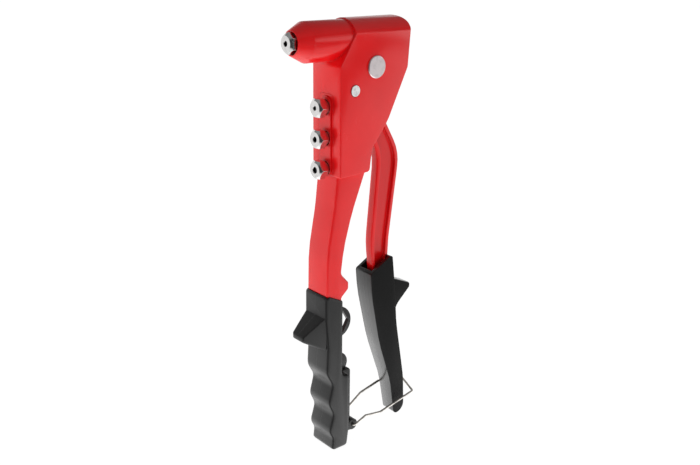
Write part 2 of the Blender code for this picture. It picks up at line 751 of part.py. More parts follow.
def jaw_set():
    """Jaw case with its two jaws, their pusher and its spring."""
    front = JAW_CASE_FRONT
    rear = front - JAW_CASE_LENGTH
    taper_end = front - JAW_TAPER_LENGTH
    case = turned(
        "case",
        [
            (JAW_CASE_MOUTH_RADIUS, front),
            (DRAW_RADIUS, front),
            (DRAW_RADIUS, rear),
            (JAW_CASE_BORE_RADIUS, rear),
            (JAW_CASE_BORE_RADIUS, taper_end),
        ],
        head_point,
        hollow=True,
    )
    finish(along_nose(case), "jaw_case", TOOL_STEEL)

    slope = (JAW_CASE_BORE_RADIUS - JAW_CASE_MOUTH_RADIUS) / JAW_TAPER_LENGTH
    jaw_front = front - JAW_SETBACK
    jaw_rear = jaw_front - JAW_LENGTH
    front_radius = JAW_CASE_MOUTH_RADIUS + slope * JAW_SETBACK - CLEARANCE
    rear_radius = front_radius + slope * JAW_LENGTH
    reach = 2.0 * rear_radius
    for name, side in (("jaw_upper", 1.0), ("jaw_lower", -1.0)):
        jaw = turned(
            name,
            [
                (JAW_BORE_RADIUS, jaw_front),
                (front_radius, jaw_front),
                (rear_radius, jaw_rear),
                (JAW_BORE_RADIUS, jaw_rear),
            ],
            head_point,
            hollow=True,
            steps=SMALL_TURNED_STEPS,
        )
        half = block(name + "_half", (2.0 * JAW_LENGTH, 2.0 * reach, reach), head_point)
        half.location = ((jaw_front + jaw_rear) / 2.0, 0.0, side * (reach + JAW_SPLIT) / 2.0)
        combine(along_nose(jaw), half, "INTERSECT")
        finish(jaw, name, TOOL_STEEL)

    pusher_front = jaw_rear - CLEARANCE
    pusher_rear = pusher_front - PUSHER_LENGTH
    pusher_radius = JAW_CASE_BORE_RADIUS - CLEARANCE
    shoulder = pusher_front - PUSHER_LENGTH / 2.0
    pusher = turned(
        "pusher",
        [
            (PUSHER_BORE_RADIUS, pusher_front),
            (PUSHER_NOSE_RADIUS, pusher_front),
            (pusher_radius - slope * PUSHER_LENGTH, shoulder),
            (pusher_radius - slope * PUSHER_LENGTH, pusher_rear),
            (PUSHER_BORE_RADIUS, pusher_rear),
        ],
        head_point,
        hollow=True,
        steps=SMALL_TURNED_STEPS,
    )
    finish(along_nose(pusher), "jaw_pusher", TOOL_STEEL)
    spring_front = pusher_rear - CLEARANCE
    jaw_spring(spring_front)
    return rear, spring_front - SPRING_LENGTH - CLEARANCE


def jaw_spring(front):
    """The helix behind the pusher, in one unbroken wire whose least gap to itself is printed."""
    run = SPRING_LENGTH - SPRING_WIRE
    count = round(SPRING_TURNS * SPRING_POINTS_PER_TURN)
    points = []
    for index in range(count + 1):
        angle = 2.0 * math.pi * index / SPRING_POINTS_PER_TURN
        x = front - SPRING_WIRE / 2.0 - run * index / count
        points.append(Vector((x, SPRING_RADIUS * math.cos(angle), SPRING_RADIUS * math.sin(angle))))
    apart = SPRING_POINTS_PER_TURN // 2
    gap = min(
        (points[first] - points[second]).length
        for first in range(len(points))
        for second in range(first + apart, len(points))
    )
    print("jaw spring, least gap to itself in mm:", round((gap - SPRING_WIRE) * 1000.0, 2))
    finish(wire("spring", points, SPRING_WIRE, head_point, 1), "jaw_spring", SPRING_STEEL)


def draw_rod(case_rear, tube_front):
    """Draw rod that screws into the jaw case, with the notch for the lever's finger, and its lock nut."""
    tube_radius = JAW_CASE_BORE_RADIUS - CLEARANCE
    nut_front = case_rear - CLEARANCE
    nut_rear = nut_front - LOCK_NUT_LENGTH
    head_front = nut_rear - CLEARANCE
    head_rear = head_front - DRAW_HEAD_LENGTH
    bore_foot = head_front + DRAW_TUBE_SEAT
    draw = turned(
        "draw",
        [
            (0.0, bore_foot),
            (DRAW_TUBE_BORE_RADIUS, bore_foot),
            (DRAW_TUBE_BORE_RADIUS, tube_front),
            (tube_radius, tube_front),
            (tube_radius, head_front),
            (DRAW_RADIUS, head_front),
            (DRAW_RADIUS, head_rear),
            (0.0, head_rear),
        ],
        head_point,
    )
    along_nose(draw)
    half = FINGER_RADIUS + CLEARANCE
    notch = plate(
        "notch",
        (
            (-half, FINGER_RADIUS + 2.0 * CLEARANCE, 0.0),
            (half, FINGER_RADIUS + 2.0 * CLEARANCE, 0.0),
            (half, 0.0, 0.0),
            (half + NOTCH_FLARE, -2.0 * DRAW_RADIUS, 0.0),
            (-half - NOTCH_FLARE, -2.0 * DRAW_RADIUS, 0.0),
            (-half, 0.0, 0.0),
        ),
        LEVER_THICKNESS + 2.0 * SLOT_CLEARANCE,
        head_point,
        x=FINGER_TIP_X,
    )
    combine(draw, notch, "DIFFERENCE")
    finish(draw, "draw_rod", TOOL_STEEL)

    nut = hex_bar("nut", LOCK_NUT_FLATS, LOCK_NUT_LENGTH, head_point)
    along_nose(nut, (nut_front + nut_rear) / 2.0)
    nut_hole = rod("nut_hole", tube_radius + CLEARANCE, 2.0 * LOCK_NUT_LENGTH, head_point, SMALL_TURNED_STEPS)
    combine(nut, along_nose(nut_hole, nut.location.x), "DIFFERENCE")
    finish(nut, "lock_nut", TOOL_STEEL)


def rear_plug():
    """Plug that closes the bore at the back of the head, with a slot for a screwdriver."""
    rear = REAR_PLUG_INSET - HEAD_DEPTH
    plug = rod("plug", BORE_RADIUS - CLEARANCE, REAR_PLUG_LENGTH, head_point)
    along_nose(plug, rear + REAR_PLUG_LENGTH / 2.0)
    slot = block(
        "plug_slot",
        (2.0 * PLUG_SLOT_DEPTH, 4.0 * BORE_RADIUS, PLUG_SLOT_WIDTH),
        head_point,
        x=rear,
    )
    combine(plug, slot, "DIFFERENCE")
    finish(plug, "rear_plug", TOOL_STEEL)


def finger_guard(width):
    """Wedge that stops the hand at the top of the front grip, narrower at its tip."""
    root_half = width / 2.0
    tip_half = GUARD_TIP_WIDTH / 2.0
    tip_top = -GUARD_TIP_DROP
    tip_foot = tip_top - GUARD_TIP_HEIGHT
    mesh = bmesh.new()
    root = [
        mesh.verts.new((GUARD_ROOT_X, side * root_half, z))
        for side, z in ((-1, -GUARD_ROOT_FOOT), (1, -GUARD_ROOT_FOOT), (1, -GUARD_ROOT_TOP), (-1, -GUARD_ROOT_TOP))
    ]
    tip = [
        mesh.verts.new((GUARD_REACH, side * tip_half, z))
        for side, z in ((-1, tip_foot), (1, tip_foot), (1, tip_top), (-1, tip_top))
    ]
    bmesh.ops.convex_hull(mesh, input=root + tip)
    data = bpy.data.meshes.new("guard")
    mesh.to_mesh(data)
    mesh.free()
    guard = add_object("guard", data, head_point)
    soften(guard, GUARD_EDGE, 3)
    return guard


def front_grip():
    """Moulded grip over the handle, with finger waves, guard, spanner pocket and the boss of the bail."""
    width = HANDLE_WIDTH + 2.0 * (CLEARANCE + GRIP_WALL)
    grip = plate("grip", GRIP_OUTLINE, width, head_point)
    soften(grip, GRIP_EDGE, 3)
    combine(grip, finger_guard(width - GRIP_EDGE), "UNION")
    pocket = plate(
        "pocket",
        (
            (0.0, -GRIP_LEDGE - POCKET_EDGE, 0.0),
            (0.0, -POCKET_FOOT, 0.0),
            (-POCKET_REAR, -POCKET_FOOT, 0.0020),
            (-POCKET_REAR, -GRIP_LEDGE - POCKET_EDGE, 0.0020),
        ),
        POCKET_WIDTH,
        head_point,
    )
    soften(pocket, POCKET_EDGE)
    combine(grip, pocket, "UNION")
    boss = rod("boss", BAIL_BOSS_RADIUS, BAIL_BOSS_WIDTH, bail_hinge, SMALL_TURNED_STEPS)
    combine(grip, across(boss), "UNION")
    web = block(
        "boss_web",
        (BAIL_HINGE_SETBACK, BAIL_BOSS_WIDTH - 2.0 * SLOT_CLEARANCE, 2.0 * BAIL_BOSS_RADIUS - SLOT_CLEARANCE),
        bail_hinge,
        x=BAIL_HINGE_SETBACK / 2.0,
    )
    combine(grip, web, "UNION")

    fit = inset(HANDLE_OUTLINE, -CLEARANCE)
    fit_width = HANDLE_WIDTH + 2.0 * CLEARANCE
    combine(grip, plate("handle_fit", fit, fit_width, head_point), "DIFFERENCE")
    rear_gap = plate(
        "rear_gap",
        (
            (0.0, -GRIP_LEDGE, 0.0),
            (-CHANNEL_REACH, -GRIP_LEDGE, 0.0),
            (-CHANNEL_REACH, -HANDLE_TOP, 0.0),
            (0.0, -HANDLE_TOP, 0.0),
        ),
        fit_width,
        head_point,
    )
    combine(grip, rear_gap, "DIFFERENCE")
    tab_half = TAB_RADIUS + CLEARANCE
    tab_fit = plate(
        "tab_fit",
        (
            (-tab_half, -tab_half, tab_half - SEAT_GAP),
            (-tab_half, tab_half, 0.0),
            (tab_half, tab_half, 0.0),
            (tab_half, -tab_half, tab_half - SEAT_GAP),
        ),
        SPANNER_THICKNESS + 2.0 * CLEARANCE,
        head_point,
        x=-TAB_SETBACK,
        z=-TAB_DROP,
    )
    combine(grip, tab_fit, "DIFFERENCE")
    wire_hole = rod("wire_hole", BAIL_WIRE / 2.0 + CLEARANCE, 2.0 * BAIL_BOSS_WIDTH, bail_hinge, SMALL_TURNED_STEPS)
    combine(grip, across(wire_hole), "DIFFERENCE")
    return finish(grip, "front_grip", BLACK_RUBBER)


def spanner():
    """Flat spanner with a six-sided ring and a round tab, stored with the tab in the grip's pocket."""
    ring_centre = (-RING_SETBACK, -RING_DROP)
    tab_centre = (-TAB_SETBACK, -TAB_DROP)
    half = SPANNER_NECK_WIDTH / 2.0
    neck_outline = (
        (ring_centre[0] - half, ring_centre[1], 0.0),
        (ring_centre[0] + half, ring_centre[1], 0.0),
        (tab_centre[0] + half, tab_centre[1], 0.0),
        (tab_centre[0] - half, tab_centre[1], 0.0),
    )
    piece = plate("spanner_neck", neck_outline, SPANNER_NECK_THICKNESS, head_point)
    for name, centre, radius in (("ring", ring_centre, RING_RADIUS), ("tab", tab_centre, TAB_RADIUS)):
        disc = rod(name, radius, SPANNER_THICKNESS, head_point)
        soften(disc, SPANNER_EDGE)
        combine(piece, across(disc, *centre), "UNION")
    hole = hex_bar("ring_hole", RING_FLATS + 2.0 * SPANNER_FIT, 2.0 * SPANNER_THICKNESS, head_point)
    combine(piece, across(hole, *ring_centre), "DIFFERENCE")
    return finish(piece, "spanner", BLACK_STEEL)


def lever_grip():
    """Moulded sleeve on the lever, narrower towards its foot, with an open mouth and a thumb spur."""
    grip = plate("sleeve", LEVER_GRIP_OUTLINE, LEVER_GRIP_MOUTH_WIDTH, lever_pivot)
    narrowing = 1.0 - LEVER_GRIP_FOOT_WIDTH / LEVER_GRIP_MOUTH_WIDTH
    run = LEVER_GRIP_FOOT - LEVER_GRIP_TOP
    for vertex in grip.data.vertices:
        share = (-vertex.co.y - LEVER_GRIP_TOP) / run
        vertex.co.z *= 1.0 - narrowing * share
    soften(grip, LEVER_GRIP_EDGE, 3)
    spur = plate("spur", SPUR_OUTLINE, SPUR_WIDTH, lever_pivot)
    soften(spur, SPUR_EDGE)
    combine(grip, spur, "UNION")

    fit = inset(lever_outline(), -CLEARANCE)
    combine(grip, plate("lever_fit", fit, LEVER_THICKNESS + 2.0 * CLEARANCE, lever_pivot), "DIFFERENCE")
    top = LEVER_GRIP_OUTLINE[-1]
    front = LEVER_GRIP_OUTLINE[0]
    mouth = plate(
        "mouth",
        (
            (front[0] - MOUTH_WALL, front[1] - MOUTH_DEPTH, MOUTH_CORNER),
            (top[0] + MOUTH_WALL, top[1] - MOUTH_DEPTH, MOUTH_CORNER),
            (top[0] + MOUTH_WALL, top[1] + MOUTH_DEPTH, 0.0),
            (front[0] - MOUTH_WALL, front[1] + 2.0 * MOUTH_DEPTH, 0.0),
        ),
        LEVER_GRIP_MOUTH_WIDTH - 2.0 * MOUTH_WALL,
        lever_pivot,
    )
    combine(grip, mouth, "DIFFERENCE")
    return finish(grip, "lever_grip", BLACK_RUBBER)


def latch_bail():
    """Wire bail hinged in the grip's boss, round the foot of the lever."""
    out = BAIL_ROOT_SPREAD
    inside = BAIL_BOSS_WIDTH / 2.0 - BAIL_END_REACH
    route = [Vector((0.0, inside, 0.0)), Vector((0.0, out, 0.0))]
    route += [Vector(spot) for spot in BAIL_NEAR_ARM + BAIL_FAR_ARM]
    route += [Vector((0.0, -out, 0.0)), Vector((0.0, -inside, 0.0))]
    points = [route[0]]
    for before, at, after in zip(route, route[1:], route[2:]):
        points += fillet(before, at, after, BAIL_BEND)
    points.append(route[-1])
    return finish(wire("bail", points, BAIL_WIRE, bail_hinge, 2), "latch_bail", SPRING_STEEL)


body_casting()
nosepieces()
lever()
pins()
draw_rod(*jaw_set())
rear_plug()
front_grip()
spanner()
lever_grip()
latch_bail()
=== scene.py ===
"""Looks of the hand riveter: enamel, moulded grips and steel, on a white table in soft light."""
import math

import bpy
from mathutils import Matrix, Vector


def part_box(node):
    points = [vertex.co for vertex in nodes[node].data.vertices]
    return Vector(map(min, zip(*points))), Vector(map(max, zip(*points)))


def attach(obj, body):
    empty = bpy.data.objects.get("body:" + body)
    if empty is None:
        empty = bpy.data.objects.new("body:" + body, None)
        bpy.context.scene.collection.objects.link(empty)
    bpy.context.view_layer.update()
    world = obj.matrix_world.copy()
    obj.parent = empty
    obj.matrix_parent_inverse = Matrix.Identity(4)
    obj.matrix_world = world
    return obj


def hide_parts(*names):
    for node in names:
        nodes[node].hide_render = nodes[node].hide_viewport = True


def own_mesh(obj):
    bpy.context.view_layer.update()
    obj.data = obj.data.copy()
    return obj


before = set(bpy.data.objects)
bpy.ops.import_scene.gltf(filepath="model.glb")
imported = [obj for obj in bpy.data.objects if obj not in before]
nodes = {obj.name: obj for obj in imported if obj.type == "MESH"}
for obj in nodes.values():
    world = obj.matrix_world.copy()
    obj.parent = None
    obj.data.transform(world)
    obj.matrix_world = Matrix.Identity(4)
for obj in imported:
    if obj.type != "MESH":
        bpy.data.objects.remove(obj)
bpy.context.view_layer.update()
scene = bpy.context.scene
scene.view_settings.view_transform = "Standard"

# Places on the tool, in metres
NOSE_AXIS_Z = 0.2497
HEAD_FRONT_X = 0.0217
PIVOT = (-0.0036, 0.2350)
STOP = (0.0113, 0.2230)
SPARES = ("spare_nosepiece_top", "spare_nosepiece_middle", "spare_nosepiece_bottom")

# Nosepieces: hexagon, front face and shank
NOSEPIECE_FLATS = 0.0102
NOSEPIECE_HEX_LENGTH = 0.0048
NOSEPIECE_FACE_RADIUS = 0.0042
NOSEPIECE_CHAMFER_SLOPE = 0.85
NOSEPIECE_SHANK_RADIUS = 0.0040
NOSEPIECE_HOLE_EDGE = 0.0002
NOSEPIECE_SECTORS = 72
HEX_HALF_ANGLE = math.pi / 6.0
FITTED_HOLE_RADIUS = 0.00145
SPARE_HOLE_RADII = (0.0012, 0.0016, 0.0018)

# Raised pad that the spare nosepieces screw into, and the flush face around it
PAD_WIDTH = 0.0094
PAD_TOP_Z = 0.2200
PAD_FOOT_Z = 0.1757
PAD_TOP_CORNER = 0.0044
PAD_FOOT_CORNER = 0.0018
PAD_PROUD = 0.0009
FACE_WIDTH = 0.0129
FACE_TOP_Z = 0.22115
FACE_FOOT_Z = 0.1752
FACE_TOP_CORNER = 0.00325
FACE_FOOT_CORNER = 0.0004
FACE_DEPTH = 0.00058
THREAD_HOLE_RADIUS = 0.0043
CORNER_STEPS = 8
QUARTER_TURN = math.pi / 2.0

# Smooth shading: corners closer than this are joined, and gentler edges than this are smoothed
WELD_DISTANCE = 0.000002
SHARP_ANGLE = math.radians(31.0)

# Red enamel: colours, pattern sizes, and the places where it changes
ENAMEL_DEEP_RED = (0.74, 0.0030, 0.0050)
ENAMEL_CLEAR_RED = (0.79, 0.0045, 0.0065)
# A darker red, painted as shade in the lever's recessed panel
ENAMEL_RECESS_SHADE_RED = (0.58, 0.0020, 0.0035)
ENAMEL_CLOUD = 0.018
ENAMEL_SKIN = 0.0011
ENAMEL_FINE_SKIN = 0.00035
ENAMEL_STREAKS = (60.0, 400.0, 8.0)
ENAMEL_RELIEF = 0.000012
ENAMEL_EDGE_RADIUS = 0.0006
ENAMEL_COAT = 0.12
LEVER_RECESS_Y = (0.0012, 0.0027)
BORE_EDGE = (0.0060, 0.0062)
BARE_METAL = (0.55, 0.54, 0.53)

# Black moulding: pattern sizes, parting line, and the groove beside the front grip's edges
MOULDING_CLOUD = 0.012
MOULDING_GRAIN = 0.00045
MOULDING_FLOW = (120.0, 420.0, 9.0)
MOULDING_DUST = 0.0016
MOULDING_DUST_GREY = (0.20, 0.20, 0.20)
MOULDING_RELIEF = 0.00003
MOULDING_EDGE_RADIUS = 0.0007
PARTING_LINE = (0.00008, 0.00026)
EDGE_GROOVE = (0.00020, 0.00055)
FRONT_GRIP_GROOVE_Y = 0.0097

# Turned steel: tints, pattern sizes, and the spacing and depth of the rings
BRIGHT_STEEL = (0.76, 0.75, 0.74)
PLAIN_STEEL = (0.44, 0.43, 0.42)
RIVET_STEEL = (0.92, 0.84, 0.85)
STOP_PIN_STEEL = (0.99, 0.99, 0.98)
STEEL_RING = 0.00022
PIN_RING = 0.0004
STEEL_RELIEF = 0.0000022
STOP_PIN_RELIEF = 0.0000004
STEEL_WOBBLE = 0.004
STEEL_STAIN = 0.0025
STEEL_SCRATCHES = (500.0, 3000.0, 3000.0)
STEEL_EDGE_RADIUS = 0.00025

# Drawn wire: tints, die lines and tarnish
SPRING_WIRE = (0.50, 0.49, 0.47)
BAIL_WIRE = (0.66, 0.63, 0.59)
WIRE_LINES = (150.0, 4000.0, 4000.0)
WIRE_TARNISH = 0.005
WIRE_RELIEF = 0.000004
WIRE_EDGE_RADIUS = 0.0001

# Black oxide: colours and pattern sizes
OXIDE_BLACK = (0.010, 0.010, 0.011)
OXIDE_GREY = (0.022, 0.021, 0.021)
OXIDE_RUBBED = (0.14, 0.135, 0.13)
OXIDE_MOTTLE = 0.0022
OXIDE_GRAIN = 0.0003
OXIDE_RUB = 0.0012
OXIDE_RELIEF = 0.000008
OXIDE_EDGE_RADIUS = 0.0003

# Ways across the table: to the camera, and to the bright panel on the right
CAMERA_WAY = (0.643, 0.766)
PANEL_WAY = (-0.616, 0.788)

# Table: its size, its light as seen, mirrored and bounced, and where that changes
TABLE_REACH = 6.0
TABLE_DROP = 0.0002
TABLE_SEEN = 0.93
TABLE_MIRRORED = 0.92
TABLE_MIRRORED_NEAR = 0.83
TABLE_BOUNCED = 0.55
TABLE_BOUNCED_NEAR = 1.50
TABLE_UNLIT_LOSS = 0.95
TABLE_NEAR = (0.04, 0.22)
TABLE_UNLIT = (0.18, 0.45)
TABLE_MATT_SEEN = 0.30
TABLE_MATT_BOUNCED = 0.80

# Room: what steel and gloss mirror, and the even light on everything else
ROOM_DARK = 0.05
ROOM_CEILING = 0.22
ROOM_WALL = 0.95
ROOM_PANEL = 1.50
ROOM_EVEN = 0.68
ROOM_EVEN_LOSS = 0.46

# Lamps: name, place, width and power
LAMPS = (
    ("left_light", (0.55, -0.26, 0.05), 0.3, 1.60),
    ("right_light", (0.05, 0.60, 0.05), 0.3, 0.95),
)
LAMP_AIM = (0.0, 0.0, 0.08)

# Camera, fitted to the tool's edges: place in metres, lens in millimetres, angles in degrees
CAMERA_PLACE = (0.32503, 0.38260, 0.30180)
CAMERA_LENS = 45.47
CAMERA_SENSOR = 36.0
CAMERA_CLIP = 0.01
CAMERA_TURN = 139.96
CAMERA_RISE = 18.32
CAMERA_ROLL = 0.63

# Places of the outputs and sockets that are used on Blender's own nodes
OBJECT_POINT = 3
WORLD_WAY = 0
SURFACE_FACING = 1
CAMERA_RAY = 0
GLOSSY_RAY = 3
TRANSMISSION_RAY = 6
FIRST_COLOUR = 6
SECOND_COLOUR = 7


class Value:
    """A shader value that takes part in Python arithmetic. Each operation adds a Math node."""

    def __init__(self, finish, socket):
        self.finish = finish
        self.socket = socket

    def math(self, operation, *terms):
        return self.finish.node("ShaderNodeMath", {"operation": operation}, dict(enumerate(terms)))[0]

    def __add__(self, other):
        return self.math("ADD", self, other)

    __radd__ = __add__

    def __sub__(self, other):
        return self.math("SUBTRACT", self, other)

    def __rsub__(self, other):
        return self.math("SUBTRACT", other, self)

    def __mul__(self, other):
        return self.math("MULTIPLY", self, other)

    __rmul__ = __mul__

    def __pow__(self, other):
        return self.math("POWER", self, other)

    def __abs__(self):
        return self.math("ABSOLUTE", self)

    def sine(self):
        return self.math("SINE", self)

    def clamped(self):
        return self.finish.node("ShaderNodeClamp", {}, {"Value": self})[0]

    def step(self, low, high):
        """0 below low, 1 above high, smooth between."""
        settings = {"interpolation_type": "SMOOTHSTEP"}
        sockets = {"Value": self, "From Min": low, "From Max": high}
        return self.finish.node("ShaderNodeMapRange", settings, sockets)[0]


class Finish:
    """One node tree, built by one method for every kind of node."""

    def __init__(self, tree):
        self.tree = tree
        self.tree.nodes.clear()

    def node(self, kind, settings, sockets):
        """Add a node, set it up, then set or link its sockets. Returns its outputs as values."""
        node = self.tree.nodes.new(kind)
        for name, setting in settings.items():
            setattr(node, name, setting)
        for name, value in sockets.items():
            socket = node.inputs[name]
            if isinstance(value, Value):
                self.tree.links.new(value.socket, socket)
            elif socket.type == "RGBA":
                socket.default_value = (*value, 1.0)
            else:
                socket.default_value = value
        return [Value(self, output) for output in node.outputs if output.enabled]

    def point(self):
        """The point on the resting tool, in metres."""
        return self.node("ShaderNodeTexCoord", {}, {})[OBJECT_POINT]

    def parts(self, vector):
        """The three parts of a point or a direction."""
        return self.node("ShaderNodeSeparateXYZ", {}, {"Vector": vector})

    def stretched(self, point, scale):
        return self.node("ShaderNodeVectorMath", {"operation": "MULTIPLY"}, {0: point, 1: scale})[0]

    def noise(self, point, size, detail=2.0, roughness=0.5):
        """Cloudy pattern from 0 to 1, with blotches of about one size in metres."""
        sockets = {"Vector": point, "Scale": 1.0 / size, "Detail": detail, "Roughness": roughness}
        return self.node("ShaderNodeTexNoise", {}, sockets)[0]

    def mixed(self, amount, first, second):
        """A colour between two colours."""
        sockets = {"Factor": amount, FIRST_COLOUR: first, SECOND_COLOUR: second}
        return self.node("ShaderNodeMix", {"data_type": "RGBA"}, sockets)[0]

    def rounded(self, radius):
        """The surface's direction with its sharp edges rounded off."""
        return self.node("ShaderNodeBevel", {"samples": 8}, {"Radius": radius})[0]

    def bump(self, height, depth, normal):
        """The surface's direction over small hills of a height from 0 to 1 and a depth in metres."""
        sockets = {"Height": height, "Distance": depth, "Strength": 1.0, "Normal": normal}
        return self.node("ShaderNodeBump", {}, sockets)[0]

    def surface(self, shader):
        self.node("ShaderNodeOutputMaterial", {}, {"Surface": shader})

    def skin(self, sockets):
        """End the tree in one shader with these sockets."""
        self.surface(self.node("ShaderNodeBsdfPrincipled", {}, sockets)[0])


def material(name):
    made = bpy.data.materials.new(name)
    made.use_nodes = True
    return made, Finish(made.node_tree)


def distance(first, second):
    """How far a place lies from an axis, from its two parts across that axis."""
    return (first * first + second * second) ** 0.5


def darker(tint, share):
    """A tint brought down to a share of itself."""
    return tuple(share * part for part in tint)


def red_enamel(name, streaks, recess_shading=0.0):
    """Glossy red enamel with the skin of sprayed paint, painted shade darkening a recessed panel, and bare
    bores.
    """
    made, coat = material(name)
    point = coat.point()
    _, y, z = coat.parts(point)
    cloud = coat.noise(point, ENAMEL_CLOUD, 2.0)
    skin = coat.noise(point, ENAMEL_SKIN, 1.0)
    fine = coat.noise(point, ENAMEL_FINE_SKIN, 1.0)
    drawn = coat.noise(coat.stretched(point, ENAMEL_STREAKS), 1.0, 3.0)
    red = coat.mixed(cloud.step(0.3, 0.7), ENAMEL_DEEP_RED, ENAMEL_CLEAR_RED)
    # Painted shade: the red darkens in the lever's recessed panel, streaked like blurred reflections
    recess_shade = recess_shading * (1.0 - abs(y).step(*LEVER_RECESS_Y))
    red = coat.mixed(recess_shade * (0.55 + 0.45 * drawn.step(0.35, 0.65)), red, ENAMEL_RECESS_SHADE_RED)
    bore = 1.0 - distance(y, z - NOSE_AXIS_Z).step(*BORE_EDGE)
    hills = skin + fine * 0.25 + drawn * streaks
    coat.skin({
        "Base Color": coat.mixed(bore, red, BARE_METAL),
        "Roughness": 0.20 + 0.07 * cloud + 0.04 * fine + 0.15 * bore,
        "Metallic": bore,
        "Specular IOR Level": 0.5,
        "Coat Weight": ENAMEL_COAT * (1.0 - bore),
        "Coat Roughness": 0.08,
        "Normal": coat.bump(hills, ENAMEL_RELIEF, coat.rounded(ENAMEL_EDGE_RADIUS)),
    })
    return made


def black_moulding(name, grey, shine, gloss, side_gloss, streaks, edge=None):
    """Satin black moulding with a fine grain, duller sides, a parting line, and a groove at one width."""
    made, mould = material(name)
    point = mould.point()
    y = mould.parts(point)[1]
    cloud = mould.noise(point, MOULDING_CLOUD, 3.0)
    grain = mould.noise(point, MOULDING_GRAIN, 2.0)
    flow = mould.noise(mould.stretched(point, MOULDING_FLOW), 1.0, 2.0)
    dust = mould.noise(point, MOULDING_DUST, 4.0, 0.7).step(0.66, 0.80)
    line = 1.0 - abs(y).step(*PARTING_LINE)
    groove = 1.0 - abs(abs(y) - edge).step(*EDGE_GROOVE) if edge else 0.0
    facing = mould.node("ShaderNodeNewGeometry", {}, {})[SURFACE_FACING]
    side = abs(mould.parts(facing)[1]).step(0.75, 0.95)
    shade = mould.mixed(cloud.step(0.25, 0.75), [0.8 * grey] * 3, [1.2 * grey] * 3)
    roughness = gloss + (side_gloss - gloss) * side + 0.60 * groove
    hills = grain + flow * streaks + line * 1.6 - groove * 7.0
    mould.skin({
        "Base Color": mould.mixed(0.10 * dust, shade, MOULDING_DUST_GREY),
        "Roughness": roughness + 0.10 * cloud + 0.08 * grain - 0.06 * line,
        "Specular IOR Level": 0.43 - 0.23 * shine,
        "Coat Weight": shine * (1.0 - side),
        "Coat Roughness": 0.16,
        "Normal": mould.bump(hills, MOULDING_RELIEF, mould.rounded(MOULDING_EDGE_RADIUS)),
    })
    return made


def turned_steel(name, tint, roughness, centre, ring=STEEL_RING, relief=STEEL_RELIEF):
    """Steel turned on a lathe, its fine rings about the axis of the nose or of a pin."""
    made, steel = material(name)
    point = steel.point()
    x, y, z = steel.parts(point)
    along, height = centre
    reach = distance(y if along is None else x - along, z - height)
    wobble = steel.noise(point, STEEL_WOBBLE, 2.0)
    rings = (reach * (2.0 * math.pi / ring) + wobble * 3.0).sine() * 0.5 + 0.5
    scratch = steel.noise(steel.stretched(point, STEEL_SCRATCHES), 1.0, 2.0)
    stain = steel.noise(point, STEEL_STAIN, 3.0).step(0.45, 0.85)
    steel.skin({
        "Base Color": steel.mixed(stain, tint, darker(tint, 0.80)),
        "Roughness": roughness + 0.06 * scratch + 0.08 * stain,
        "Metallic": 1.0,
        "Normal": steel.bump(rings + scratch * 0.6, relief, steel.rounded(STEEL_EDGE_RADIUS)),
    })
    return made


def drawn_wire(name, tint):
    """Plain steel wire with the lines of the drawing die and a little tarnish."""
    made, steel = material(name)
    point = steel.point()
    lines = steel.noise(steel.stretched(point, WIRE_LINES), 1.0, 2.0)
    tarnish = steel.noise(point, WIRE_TARNISH, 4.0, 0.6).step(0.45, 0.75)
    steel.skin({
        "Base Color": steel.mixed(tarnish, tint, darker(tint, 0.55)),
        "Roughness": 0.22 + 0.12 * lines + 0.12 * tarnish,
        "Metallic": 1.0,
        "Normal": steel.bump(lines, WIRE_RELIEF, steel.rounded(WIRE_EDGE_RADIUS)),
    })
    return made


def black_oxide(name):
    """Stamped steel with a mottled black finish, rubbed bright in patches."""
    made, steel = material(name)
    point = steel.point()
    mottle = steel.noise(point, OXIDE_MOTTLE, 4.0, 0.6)
    grain = steel.noise(point, OXIDE_GRAIN, 2.0)
    rubbed = steel.noise(point, OXIDE_RUB, 3.0).step(0.60, 0.80)
    shade = steel.mixed(mottle, OXIDE_BLACK, OXIDE_GREY)
    steel.skin({
        "Base Color": steel.mixed(0.25 * rubbed, shade, OXIDE_RUBBED),
        "Roughness": 0.34 + 0.14 * mottle,
        "Metallic": 0.35,
        "Normal": steel.bump(grain, OXIDE_RELIEF, steel.rounded(OXIDE_EDGE_RADIUS)),
    })
    return made


def smooth_edges():
    """A modifier that shades the facets of a curved face as one and keeps its real edges."""
    group = bpy.data.node_groups.new("smooth_shading", "GeometryNodeTree")
    group.interface.new_socket("Geometry", in_out="INPUT", socket_type="NodeSocketGeometry")
    group.interface.new_socket("Geometry", in_out="OUTPUT", socket_type="NodeSocketGeometry")
    entry = group.nodes.new("NodeGroupInput")
    leave = group.nodes.new("NodeGroupOutput")
    join = group.nodes.new("GeometryNodeMergeByDistance")
    join.inputs["Distance"].default_value = WELD_DISTANCE
    angle = group.nodes.new("GeometryNodeInputMeshEdgeAngle")
    gentle = group.nodes.new("FunctionNodeCompare")
    gentle.operation = "LESS_THAN"
    gentle.inputs[1].default_value = SHARP_ANGLE
    faces = group.nodes.new("GeometryNodeSetShadeSmooth")
    edges = group.nodes.new("GeometryNodeSetShadeSmooth")
    edges.domain = "EDGE"
    group.links.new(entry.outputs[0], join.inputs["Geometry"])
    group.links.new(join.outputs[0], faces.inputs["Geometry"])
    group.links.new(faces.outputs[0], edges.inputs["Geometry"])
    group.links.new(angle.outputs["Unsigned Angle"], gentle.inputs[0])
    group.links.new(gentle.outputs[0], edges.inputs["Shade Smooth"])
    group.links.new(edges.outputs[0], leave.inputs[0])
    for node in nodes.values():
        node.modifiers.new("smooth_shading", "NODES").node_group = group


def new_piece(name, data, body, node=None):
    """A new piece on one body, in place of a node where one is named."""
    piece = bpy.data.objects.new(name, data)
    scene.collection.objects.link(piece)
    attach(piece, body)
    if node:
        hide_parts(node)
    return piece


def axis_height(name):
    """The height of a nosepiece's own axis."""
    low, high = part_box(name)
    return (low.z + high.z) / 2.0


